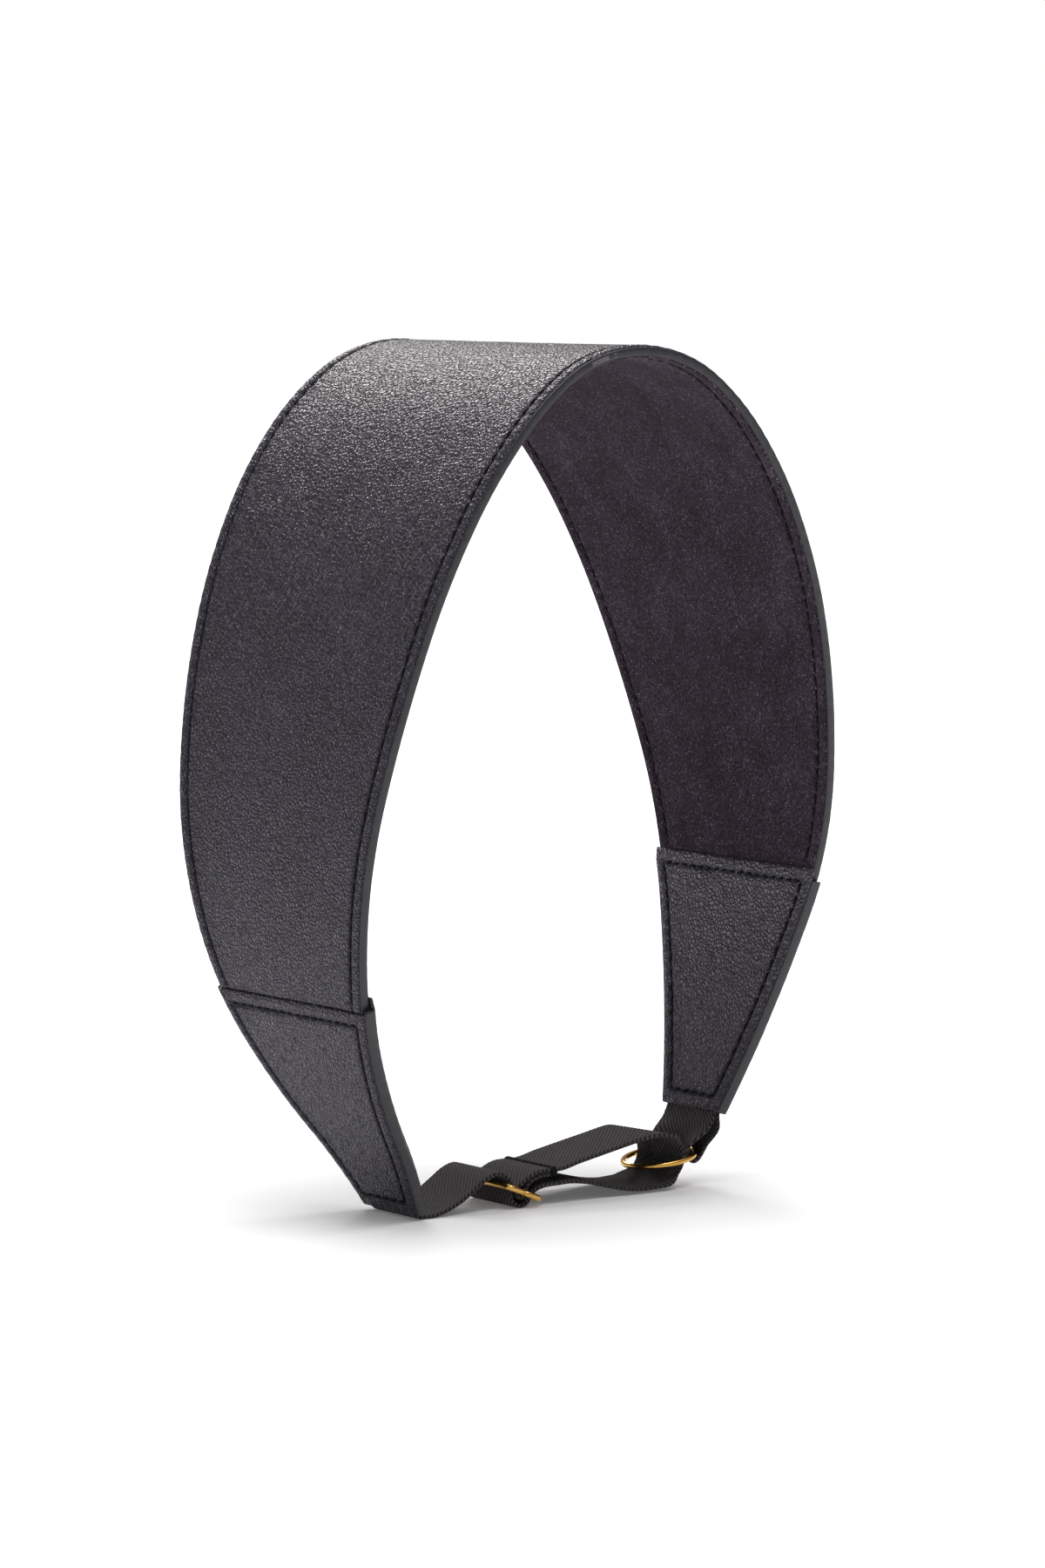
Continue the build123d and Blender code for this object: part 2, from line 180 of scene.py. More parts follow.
def tab_half_width(t):
    along = (np.abs(np.asarray(t, float) + BAND_SHIFT) - BAND_HALF) / TAB_LENGTH
    along = np.maximum(along, 0.0)
    return (TAB_WIDTH_TOP + (TAB_WIDTH_END - TAB_WIDTH_TOP) * along) / 2


def seam_phase(t, t0, t1):
    """Runs 0 to 1 over each stitch of a row between t0 and t1."""
    count = round(abs(t1 - t0) / PITCH)
    return (t - min(t0, t1)) / (abs(t1 - t0) / count)


def slow_waves(a, b, seed, scale):
    """Gentle unevenness, at most about 1 high either way."""
    r = np.random.default_rng(seed)
    total = np.zeros(np.broadcast(a, b).shape)
    for i in range(7):
        way = r.uniform(0, math.tau)
        freq = (0.6 + 0.35 * i) / scale
        total = total + np.sin(
            math.tau * freq * (a * math.cos(way) + b * math.sin(way)) + r.uniform(0, math.tau)
        ) / (1.6 + 0.5 * i)
    return total / 1.6


def rounding(e, r):
    """How far a rounded edge of radius r has dropped, e from the edge."""
    inside = np.clip(r - e, 0, r)
    return r - np.sqrt(np.maximum(r * r - inside * inside, 0))


def seam_relief(e, phase, strength=1.0):
    """Sink of leather around a stitch line: groove, puckers and a puffed border."""
    hole = 0.5 + 0.5 * np.cos(math.tau * phase)
    line = SEAM - SCALLOP * (1 - hole)
    groove = GROOVE_DEPTH * np.exp(-(((e - line) / GROOVE_WIDTH) ** 2)) * (0.45 + 0.55 * hole)
    border = -PUFF * np.sin(math.pi * np.clip(e / SEAM, 0, 1)) ** 1.5 * (1 - 0.7 * hole)
    beyond = -0.07 * np.exp(-(((e - SEAM - 1.5) / 1.0) ** 2)) * (1 - hole)
    return strength * (groove + border + beyond)


# ======== mesh helpers ========
def new_object(name, verts_mm, faces, flat=None):
    mesh = bpy.data.meshes.new(name)
    mesh.from_pydata((np.asarray(verts_mm) * MM).tolist(), [], faces)
    if flat is not None:
        data = mesh.attributes.new("flat", "FLOAT_VECTOR", "POINT")
        data.data.foreach_set("vector", np.asarray(flat, np.float32).ravel())
    b = bmesh.new()
    b.from_mesh(mesh)
    bmesh.ops.recalc_face_normals(b, faces=b.faces)
    b.to_mesh(mesh)
    b.free()
    mesh.polygons.foreach_set("use_smooth", [True] * len(mesh.polygons))
    mesh.update()
    obj = bpy.data.objects.new(name, mesh)
    bpy.context.scene.collection.objects.link(obj)
    return obj


def grid_faces(n, m, start=0, close_m=False):
    i, j = np.meshgrid(np.arange(n - 1), np.arange(m if close_m else m - 1), indexing="ij")
    k = (j + 1) % m
    quads = np.stack([i * m + j, i * m + k, (i + 1) * m + k, (i + 1) * m + j], -1) + start
    return quads.reshape(-1, 4)


def slab(name, top, low, flat):
    """A closed solid between two grids of points of the same size."""
    n, m = top.shape[:2]
    verts = np.concatenate([top.reshape(-1, 3), low.reshape(-1, 3)])
    faces = [grid_faces(n, m), grid_faces(n, m, n * m)[:, ::-1]]
    rim = np.concatenate([
        np.arange(m), np.arange(1, n) * m + m - 1,
        (n - 1) * m + np.arange(m - 2, -1, -1), np.arange(n - 2, 0, -1) * m,
    ])
    nxt = np.roll(rim, -1)
    faces.append(np.stack([rim, nxt, nxt + n * m, rim + n * m], -1))
    both = np.concatenate([flat.reshape(-1, 3), flat.reshape(-1, 3)])
    return new_object(name, verts, np.concatenate(faces).tolist(), both)


EDGE_STEPS = [0, 0.06, 0.15, 0.28, 0.42, 0.55, 0.8, 1.2, 1.8, 2.4, 2.9, 3.25, 3.5, 3.7,
              3.9, 4.15, 4.5, 5.1, 6.0, 7.0, 8.0]
MIDDLE = 15


def columns(half):
    """Distances across a piece for each half width: fine by the edges, even between."""
    e = np.array(EDGE_STEPS)
    half = np.asarray(half)[:, None]
    reach = half - e[-1]
    middle = np.linspace(-1, 1, MIDDLE + 2)[1:-1]
    return np.concatenate([-(half - e), reach * middle, (half - e)[:, ::-1]], 1)


def lengths(t0, t1, step=0.6):
    """Rows along a piece, finer at both ends."""
    fine = np.array(EDGE_STEPS[:7])
    count = int((t1 - t0 - 2 * fine[-1]) / step)
    middle = np.linspace(t0 + fine[-1], t1 - fine[-1], count)[1:-1]
    return np.concatenate([t0 + fine, middle, (t1 - fine)[::-1]])


def leather_piece(name, t0, t1, half_of, d_top, d_low, top_sink, low_sink=None, seam_free=99.0):
    """A skin between two depths; the sinks are functions of t, y, side edge and end gaps.

    seam_free is 0 where the ends are sewn too, and large where only the sides are.
    """
    t = lengths(t0, t1)
    y = columns(half_of(t) - PAINT)
    tt = np.broadcast_to(t[:, None], y.shape)
    side_gap = (half_of(t) - PAINT)[:, None] - np.abs(y)
    end_gap = np.minimum(tt - t0, t1 - tt)
    up = top_sink(tt, y, side_gap, end_gap) if top_sink else 0.0
    down = low_sink(tt, y, side_gap, end_gap) if low_sink else 0.0
    middle = (d_top + d_low) / 2
    top = spot(tt, y, np.minimum(d_top + up, middle + SINK_LIMIT))
    low = spot(tt, y, np.maximum(d_low - down, middle - SINK_LIMIT))
    flat = np.stack([tt, y, np.minimum(side_gap, end_gap + seam_free)], -1)
    return slab(name, top, low, flat)


# ======== the band ========
ROW = (LEFT_JOIN + ROW_MARGIN, RIGHT_JOIN - ROW_MARGIN)
INSIDE_ROW = (ROW[0] + INNER_LAP, ROW[1] - INNER_LAP)


def band_outer_sink(t, y, side_gap, end_gap):
    phase = seam_phase(t, *ROW)
    edge = rounding(side_gap, 0.55 + 0.08 * np.cos(math.tau * phase))
    end = rounding(end_gap, 0.8)
    waves = 0.10 * slow_waves(t, y, 3, 34.0)
    return edge + end + seam_relief(side_gap, phase) + waves * np.clip(side_gap / 4, 0, 1)


def suede_sink(t, y, side_gap, end_gap):
    phase = seam_phase(t, *INSIDE_ROW)
    edge = rounding(side_gap, 0.5)
    nap = 0.035 * slow_waves(t, y, 9, 5.0)
    waves = 0.12 * slow_waves(t, y, 5, 30.0)
    return edge + seam_relief(side_gap, phase, 0.8) + (waves + nap) * np.clip(side_gap / 4, 0, 1)


def strip(name, t0, t1, half_of, section, wobble, sign):
    """An edge bead: a closed section of (outward, depth) points along one long edge."""
    t = lengths(t0, t1)
    out = np.array([s[0] for s in section])
    depth = np.array([s[1] for s in section])
    move = wobble(t)[:, None] * np.clip(out + 0.3, 0, None)
    y = sign * ((half_of(t) - PAINT)[:, None] + out + move)
    tt = np.broadcast_to(t[:, None], y.shape)
    verts = spot(tt, y, depth)
    n, m = y.shape
    faces = grid_faces(n, m, close_m=True).tolist()
    faces.append(list(range(m)))
    faces.append(list(range((n - 1) * m, n * m)))
    flat = np.stack([tt, y, np.broadcast_to(depth, y.shape)], -1)
    return new_object(name, verts.reshape(-1, 3), faces, flat.reshape(-1, 3))


def bead(d0, d1):
    """Section of a painted edge between two depths, bulging outwards."""
    mid, half = (d0 + d1) / 2, (d1 - d0) / 2
    points = []
    for k in range(13):
        a = math.pi * (k / 12 - 0.5)
        out = PAINT * abs(math.cos(a)) ** 0.55
        points.append((out, mid + half * math.sin(a)))
    return [(-0.5, d0)] + points + [(-0.5, d1)]


def gentle(t, seed=21, size=0.10):
    phase = seam_phase(t, *ROW)
    return size * slow_waves(t, 0.0 * t, seed, 12.0) + 0.05 * np.cos(math.tau * phase)


outer = leather_piece("band_outer", LEFT_JOIN, RIGHT_JOIN, band_half_width,
                      OUTER_TOP, OUTER_LOW, band_outer_sink)
suede = leather_piece("band_suede", LEFT_JOIN, RIGHT_JOIN, band_half_width,
                      SUEDE_TOP, SUEDE_LOW, None, suede_sink)
edges = [
    strip("band_edge_" + name, LEFT_JOIN, RIGHT_JOIN, band_half_width, bead(*BAND_EDGE),
          gentle, sign)
    for sign, name in ((-1, "front"), (1, "back"))
]


# ======== the end tabs ========
def tab_piece(side, which):
    join = LEFT_JOIN if side < 0 else RIGHT_JOIN
    tip = join + side * TAB_LENGTH
    top = join - side * INNER_LAP if which == "inner" else join
    t0, t1 = min(top, tip), max(top, tip)

    def sink(t, y, side_gap, end_gap):
        gap = np.minimum(side_gap, end_gap)
        along = seam_phase(t, t0, t1)
        across = seam_phase(y, -TAB_WIDTH_TOP / 2, TAB_WIDTH_TOP / 2)
        phase = np.where(side_gap < end_gap, along, across)
        worn = 0.10 * np.exp(-((gap / 1.6) ** 2))
        waves = 0.10 * slow_waves(t, y, 11 + side, 26.0) * np.clip(gap / 4, 0, 1)
        return rounding(gap, 0.75) + seam_relief(gap, phase, 1.15) + worn + waves

    name = ("left" if side < 0 else "right") + "_tab_" + which
    if which == "outer":
        return leather_piece(name + "_skin", t0, t1, tab_half_width, TAB_OUT_TOP, TAB_OUT_LOW,
                             sink, None, 0.0)
    return leather_piece(name + "_skin", t0, t1, tab_half_width, TAB_IN_TOP, TAB_IN_LOW,
                         None, sink, 0.0)


tab_outer = {side: tab_piece(side, "outer") for side in (-1, 1)}
tab_inner = {side: tab_piece(side, "inner") for side in (-1, 1)}
tab_edges = {}
for side, name in ((-1, "left"), (1, "right")):
    join = LEFT_JOIN if side < 0 else RIGHT_JOIN
    tip = join + side * TAB_LENGTH
    tab_edges[side] = [
        strip(f"{name}_tab_edge_{end}", min(join, tip), max(join, tip), tab_half_width,
              bead(*TAB_EDGE), lambda t: gentle(t, 23), sign)
        for sign, end in ((-1, "front"), (1, "back"))
    ]


# ======== stitches ========
STITCH_RINGS, STITCH_SEGMENTS = 9, 8


def stitch_solid(a, b, up):
    """A plump twisted thread from a to b, dipping into the leather at both ends."""
    along = b - a
    size = np.linalg.norm(along)
    along = along / size
    across = np.cross(up, along)
    twist = rng.uniform(0, math.tau)
    fat = THREAD_R * rng.uniform(0.92, 1.08)
    verts = []
    for i in range(STITCH_RINGS):
        u = i / (STITCH_RINGS - 1)
        bow = 1 - abs(2 * u - 1) ** 2.6
        centre = a + along * size * u + up * (0.30 * bow - 0.22)
        r = fat * (0.45 + 0.55 * min(1.0, 4.5 * min(u, 1 - u) + 0.12))
        for k in range(STITCH_SEGMENTS):
            q = math.tau * k / STITCH_SEGMENTS
            ply = 1 + 0.13 * math.cos(2 * q + 9.0 * u + twist)
            verts.append(centre + (across * math.cos(q) + up * math.sin(q)) * r * ply)
    return verts


def stitch_object(name, spans):
    """One object holding every stitch, each a closed solid from (start, end, up)."""
    verts, faces, flat = [], [], []
    ring = STITCH_SEGMENTS
    for a, b, up in spans:
        start = len(verts)
        verts.extend(stitch_solid(a, b, up))
        faces.extend(grid_faces(STITCH_RINGS, ring, start, close_m=True).tolist())
        faces.append([start + k for k in range(ring)])
        last = start + (STITCH_RINGS - 1) * ring
        faces.append([last + k for k in range(ring)])
        for i in range(STITCH_RINGS):
            flat.extend([(i / STITCH_RINGS, k / ring, start) for k in range(ring)])
    return new_object(name, np.array(verts), faces, flat)


def spans_along(places, depth, outward):
    """Stitches from rows of (t, y) start and end pairs lying on a surface."""
    sign = 1 if outward else -1
    spans = []
    for (t_a, y_a), (t_b, y_b) in places:
        ends = spot(np.array([t_a, t_b]), np.array([y_a, y_b]), depth)
        mid = (t_a + t_b) / 2
        nx, nz = profile(np.array([mid]))[2:, 0]
        slant = STITCH_SLANT + rng.uniform(-SLANT_SPREAD, SLANT_SPREAD)
        if abs(t_b - t_a) > abs(y_b - y_a):
            ends[0, 1] += slant
            ends[1, 1] -= slant
        else:
            ends[0, 2] += slant
            ends[1, 2] -= slant
        spans.append((ends[0], ends[1], sign * np.array([nx, 0.0, nz])))
    return spans


def row_places(t0, t1, half_of, inset, sign):
    """Start and end of each stitch of one side seam, as (t, y) pairs."""
    count = round((t1 - t0) / PITCH)
    pitch = (t1 - t0) / count
    reach = STITCH_SHARE * pitch
    places = []
    for i in range(count):
        t = t0 + (i + 0.5) * pitch
        pair = []
        for q in (t - reach, t + reach):
            pair.append((q, sign * (float(half_of(np.array([q]))[0]) - inset)))
        places.append(pair)
    return places


for sign, name in ((-1, "front"), (1, "back")):
    inset = PAINT + SEAM
    outside = row_places(*ROW, band_half_width, inset, sign)
    inside = row_places(*INSIDE_ROW, band_half_width, inset, sign)
    spans = spans_along(outside, OUTER_TOP + SEAT_OUTSIDE, True)
    spans += spans_along(inside, SUEDE_LOW - SEAT_SUEDE, False)
    obj = stitch_object("band_seam_" + name, spans)
    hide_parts("band_stitches_" + name)
    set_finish(obj, "thread")
    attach(obj, "band")


def tab_seam_places(top, tip, inset):
    """Both side seams and both cross seams of a tab, as stitch start and end pairs."""
    places = []
    for sign in (-1, 1):
        places += row_places(min(top, tip), max(top, tip), tab_half_width, inset, sign)
    for t in (top, tip):
        reach = float(tab_half_width(np.array([t]))[0]) - inset
        count = round(2 * reach / PITCH)
        pitch = 2 * reach / count
        for i in range(count):
            y = -reach + (i + 0.5) * pitch
            places.append(((t, y - STITCH_SHARE * pitch), (t, y + STITCH_SHARE * pitch)))
    return places


for side, name in ((-1, "left"), (1, "right")):
    join = LEFT_JOIN if side < 0 else RIGHT_JOIN
    tip = join + side * (TAB_LENGTH - SEAM)
    outside = tab_seam_places(join + side * SEAM, tip, PAINT + SEAM)
    inside = tab_seam_places(join + side * (SEAM - INNER_LAP), tip, PAINT + SEAM)
    spans = spans_along(outside, TAB_OUT_TOP + SEAT_TAB, True)
    spans += spans_along(inside, TAB_IN_LOW - SEAT_TAB, False)
    obj = stitch_object(name + "_tab_seam", spans)
    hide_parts(name + "_tab_stitches")
    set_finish(obj, "thread")
    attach(obj, "band")

# ======== the elastic ========
ELASTIC_T = 0.95
HALF = 10.0             # half the width of the tape
SLIDER_C = (-4.8, 3.9)  # x, z of the slider's middle bar
BAR = 1.6
SNUG = 0.15             # gap between the elastic and the bar that it wraps
PLY_GAP = 0.05          # between two thicknesses sewn together
SEWN_IN = 2.0           # how far a tape's drawn end reaches into its tab
LAP_END = 5.7           # where the strap's sewn-down end stops
TACK_Z = 8.45
FLOOR_Z = ELASTIC_T / 2
TWILL_PITCH = 1.25      # between ribs, measured across the tape
THREAD_PITCH = 0.42     # between the threads that cross a rib


def smooth(spots, first, last, count=14):
    """Samples of the smooth curve through x, z points with given end directions."""
    spots = [np.array(s, float) for s in spots]
    ways = [np.array(first, float)]
    for before, after in zip(spots, spots[2:]):
        ways.append((after - before) / np.linalg.norm(after - before))
    ways.append(np.array(last, float))
    out = [spots[0][None]]
    u = np.linspace(0, 1, count + 1)[1:, None]
    for a, b, way_a, way_b in zip(spots, spots[1:], ways, ways[1:]):
        pull = np.linalg.norm(b - a) / 3
        p1, p2 = a + way_a * pull, b - way_b * pull
        out.append(a * (1 - u) ** 3 + 3 * p1 * u * (1 - u) ** 2 + 3 * p2 * u * u * (1 - u) + b * u ** 3)
    return np.concatenate(out)


def arc(centre, radius, a0, a1, count=16):
    a = np.radians(np.linspace(a0, a1, count + 1))[1:]
    return np.stack([centre[0] + radius * np.cos(a), centre[1] + radius * np.sin(a)], -1)


def heading(t):
    ends = spot(np.array([t, t + math.copysign(0.01, t)]), 0.0, 0.0)
    way = ends[1] - ends[0]
    return np.array([way[0], way[2]]) / np.linalg.norm(way)


def resample(path, step):
    s = np.concatenate([[0], np.cumsum(np.linalg.norm(np.diff(path, axis=0), axis=1))])
    q = np.linspace(0, s[-1], max(4, int(s[-1] / step)))
    x = np.interp(q, s, path[:, 0])
    z = np.interp(q, s, path[:, 1])
    for _ in range(3):
        x[1:-1] = (x[:-2] + 2 * x[1:-1] + x[2:]) / 4
        z[1:-1] = (z[:-2] + 2 * z[1:-1] + z[2:]) / 4
    return np.stack([x, z], -1), q


def tape(name, path, width_of, crumple_of=None, shift_of=None, twill=1, step=0.3, across=45):
    """A woven tape along a path in the XZ plane: rounded edges, ribs and a thickness."""
    mid, s = resample(path, step)
    way = np.gradient(mid, axis=0)
    way /= np.linalg.norm(way, axis=1)[:, None]
    normal = np.stack([-way[:, 1], way[:, 0]], -1)
    half = width_of(mid, s)
    v = np.linspace(-1, 1, across)
    flat_y = v * HALF
    edge = HALF - np.abs(flat_y)
    thick = ELASTIC_T / 2 - rounding(edge, 0.42)
    rib = 0.05 * np.cos(math.tau * (twill * flat_y[None, :] + s[:, None]) / TWILL_PITCH)
    rib *= np.clip(edge / 0.8, 0, 1)
    lift = crumple_of(mid, s, v) if crumple_of else np.zeros((len(s), across))
    y = half[:, None] * v[None, :]
    y = y + 0.06 * np.sin(math.tau * s[:, None] / 0.9) * (np.abs(v) > 0.97)
    shift_x, shift_z = shift_of(mid, y) if shift_of else (0.0, 0.0)
    rings = []
    for sign in (1, -1):
        off = lift + sign * (thick[None, :] + rib)
        x = mid[:, None, 0] + normal[:, None, 0] * off + shift_x
        z = mid[:, None, 1] + normal[:, None, 1] * off + shift_z
        rings.append(np.stack([x, y, z], -1))
    flat = np.stack(np.broadcast_arrays(s[:, None], twill * flat_y[None, :], 0.0), -1)
    return slab(name, rings[0], rings[1], flat)


mouth = spot(np.array([LEFT_TIP]), 0.0, POCKET[0] + ELASTIC_T / 2)[0]
down = heading(LEFT_TIP)
bend_r = (mouth[2] - FLOOR_Z) / (1 - down[0])
bend_c = (mouth[0] - down[1] * bend_r, FLOOR_Z + bend_r)
turn_from = math.degrees(math.atan2(mouth[2] - bend_c[1], mouth[0] - bend_c[0]))
inside_tab = spot(np.array([LEFT_TIP + SEWN_IN]), 0.0, POCKET[0] + ELASTIC_T / 2)[0]
wrap = BAR / 2 + SNUG + ELASTIC_T / 2
cx, cz = SLIDER_C
LEFT_HUMP = [(-31.0, FLOOR_Z), (-26.4, 1.5), (-22.0, 3.4), (-18.2, 5.8), (-14.6, 8.1), (-11.2, 9.0),
             (-8.6, 7.7), (-7.65, 5.7), (-7.9, 3.8), (-7.2, 1.8), (-4.9, FLOOR_Z)]
OVER_BAR = [(-4.9, FLOOR_Z), (-2.9, 1.2), (-1.95, 2.7), (-0.5, 4.0), (2.2, 4.8), (6.0, 5.0)]
LOWER_RUN = [(6.0, 5.0), (10.0, 5.1), (15.5, 4.4), (21.5, 2.9), (27.5, 1.6), (33.0, 1.15)]
RING_LOOP = [(37.5, 1.35), (41.0, 2.5), (43.6, 4.8), (44.5, 7.8), (43.9, 10.4), (42.2, 12.3),
             (39.6, 13.6), (36.2, 14.1), (32.6, 13.7), (27.5, 12.7), (20.4, 11.3), (13.0, 9.8),
             (6.4, TACK_Z)]
TO_WRAP = [(3.2, TACK_Z), (0.6, 8.3), (-1.8, 7.5), (-3.9, 6.3),
           (cx - wrap * math.sqrt(0.5), cz + wrap * math.sqrt(0.5))]
SHORT_END = [(cx + wrap, cz), (-2.9, 5.3), (-1.2, 6.5), (0.8, 7.15), (3.2, TACK_Z - ELASTIC_T - PLY_GAP)]
RIGHT, LEFTWARD, UP, SLANT = (1, 0), (-1, 0), (0, 1), (-math.sqrt(0.5), -math.sqrt(0.5))

path_a = np.concatenate([
    [(inside_tab[0], inside_tab[2])],
    [(mouth[0], mouth[2])],
    arc(bend_c, bend_r, turn_from, -90),
    smooth(LEFT_HUMP, RIGHT, RIGHT),
    smooth(OVER_BAR, RIGHT, RIGHT)[1:],
])
path_b = np.concatenate([
    smooth(LOWER_RUN, RIGHT, RIGHT),
    smooth(RING_LOOP, RIGHT, LEFTWARD),
    smooth(TO_WRAP, LEFTWARD, SLANT),
    arc(SLIDER_C, wrap, 135, 360),
    smooth(SHORT_END, UP, RIGHT)[1:],
    [(LAP_END, SHORT_END[-1][1])],
])


def full_width(mid, s):
    return np.full(len(s), HALF)


RING_HALF = 8.0         # half width of the strap where it passes through the ring
RING_SKEW = 0.17        # how far its near side leads its far side, for each mm across
KEEPER_HALF = 7.2       # half width of the keeper in the ring
RING_MID = 9.05         # to the middle of the ring's wire


def ease(value, low, high):
    u = np.clip((value - low) / (high - low), 0, 1)
    return u * u * (3 - 2 * u)


def in_ring(mid):
    """1 where the strap's turn passes the ring, 0 along its straight runs."""
    return ease(mid[:, 0], 36.5, 41.5) * ease(mid[:, 1], 1.3, 4.0) * ease(-mid[:, 1], -13.6, -11.0)


def ring_width(mid, s):
    return HALF + (RING_HALF - HALF) * in_ring(mid)


def ring_skew(mid, y):
    turn = ease(mid[:, 0], 30.0, 42.0)[:, None]
    return -RING_SKEW * y * turn, 0.0 * y


def ring_crumple(mid, s, v):
    folds = 0.22 * np.cos(math.tau * 1.4 * v + 0.6)[None, :] * np.abs(v)[None, :]
    return in_ring(mid)[:, None] * folds


strap_a = tape("strap_left_run", path_a, full_width, twill=-1)
strap_b = tape("strap_ring_run", path_b, ring_width, ring_crumple, ring_skew)
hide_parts("adjuster_strap")
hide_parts("adjuster_strap")
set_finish(strap_a, "elastic")
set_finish(strap_b, "elastic")
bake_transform(strap_a)
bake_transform(strap_b)

# ---- the keeper loop: out of the right tab, around the ring and back
in_mid = POCKET[1] - ELASTIC_T / 2
out_mid = POCKET[0] + ELASTIC_T / 2
start = spot(np.array([RIGHT_TIP - SEWN_IN, RIGHT_TIP]), 0.0, in_mid)[:, [0, 2]]
finish = spot(np.array([RIGHT_TIP, RIGHT_TIP - SEWN_IN]), 0.0, out_mid)[:, [0, 2]]
fall = heading(RIGHT_TIP)
KEEPER = [(53.1, 16.0), (51.7, 13.2), (51.0, 11.0), (50.9, 9.0), (51.4, 7.3), (52.7, 6.5), (54.1, 7.2),
          (54.9, 9.3), (55.1, 12.0), (55.2, 15.2)]
path_k = np.concatenate([
    start[:1],
    smooth([tuple(start[1])] + KEEPER + [tuple(finish[0])], fall, -fall),
    finish[1:],
])


def keeper_width(mid, s):
    return HALF + (KEEPER_HALF - HALF) * ease(-mid[:, 1], -14.5, -7.5)


def keeper_shift(mid, y):
    """The fold follows the round of the ring, so its sides lie further back."""
    inner_leg = np.arange(len(mid)) < np.argmin(mid[:, 1])
    height = -mid[:, 1]
    fold = np.where(inner_leg, ease(height, -15.5, -9.0), ease(height, -15.0, -5.5))[:, None]
    back = RING_MID - np.sqrt(RING_MID ** 2 - np.minimum(np.abs(y), KEEPER_HALF + 0.6) ** 2)
    return -fold * back, -0.12 * fold * back


def keeper_crumple(mid, s, v):
    near = ease(-mid[:, 1], -14.0, -8.0)[:, None]
    return near * 0.15 * np.cos(math.tau * 1.6 * v + 1.0)[None, :] * np.abs(v)[None, :]


keeper = tape("keeper_tape", path_k, keeper_width, keeper_crumple, keeper_shift)
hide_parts("keeper_loop")
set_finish(keeper, "elastic")
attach(keeper, "band")

# ---- the tack that sews the strap's end down
TACK_X = 4.75
TACK_HALF = 9.6         # half the length of the row of zigzag stitches
TACK_COUNT = 24
TACK_REACH, TACK_LEAN = 0.8, 0.35
TACK_LIFT = 0.06        # of the zigzag above the tape
OVERCAST = 0.45         # between the stitches round each edge of the tape
OVERCAST_GAP = 0.04
tack_spans = []
up = np.array([0.0, 0.0, 1.0])
top = TACK_Z + ELASTIC_T / 2 + TACK_LIFT
for i in range(TACK_COUNT):
    y = -TACK_HALF + 2 * TACK_HALF * i / (TACK_COUNT - 1)
    lean = TACK_LEAN if i % 2 else -TACK_LEAN
    begin = np.array([TACK_X - TACK_REACH, y - lean, top])
    end = np.array([TACK_X + TACK_REACH, y + lean, top])
    tack_spans.append((begin, end, up))
for sign in (-1, 1):
    for k in (-1, 0, 1):
        x = TACK_X + OVERCAST * k
        y = sign * (HALF + OVERCAST_GAP)
        low = np.array([x - 0.1, y, TACK_Z - 1.5 * ELASTIC_T])
        high = np.array([x + 0.1, y, TACK_Z + ELASTIC_T / 2 + 0.2])
        tack_spans.append((low, high, np.array([0.0, float(sign), 0.0])))
tack = stitch_object("tack_stitches", tack_spans)
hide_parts("strap_tack")
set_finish(tack, "thread")
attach(tack, "slider")

for obj, nodes, slot_name in (
    (outer, ["outer_leather"], "outer_leather"),
    (suede, ["suede_lining"], "suede"),
    (edges[0], ["edge_paint_front"], "edge_paint"),
    (edges[1], ["edge_paint_back"], "edge_paint"),
    (tab_outer[-1], ["left_tab_outer"], "outer_leather"),
    (tab_outer[1], ["right_tab_outer"], "outer_leather"),
    (tab_inner[-1], ["left_tab_inner"], "tab_leather"),
    (tab_inner[1], ["right_tab_inner"], "tab_leather"),
    (tab_edges[-1][0], ["left_tab_edge"], "edge_paint"),
    (tab_edges[-1][1], ["left_tab_edge"], "edge_paint"),
    (tab_edges[1][0], ["right_tab_edge"], "edge_paint"),
    (tab_edges[1][1], ["right_tab_edge"], "edge_paint"),
):
    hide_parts(*nodes)
    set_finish(obj, slot_name)
    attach(obj, "band")


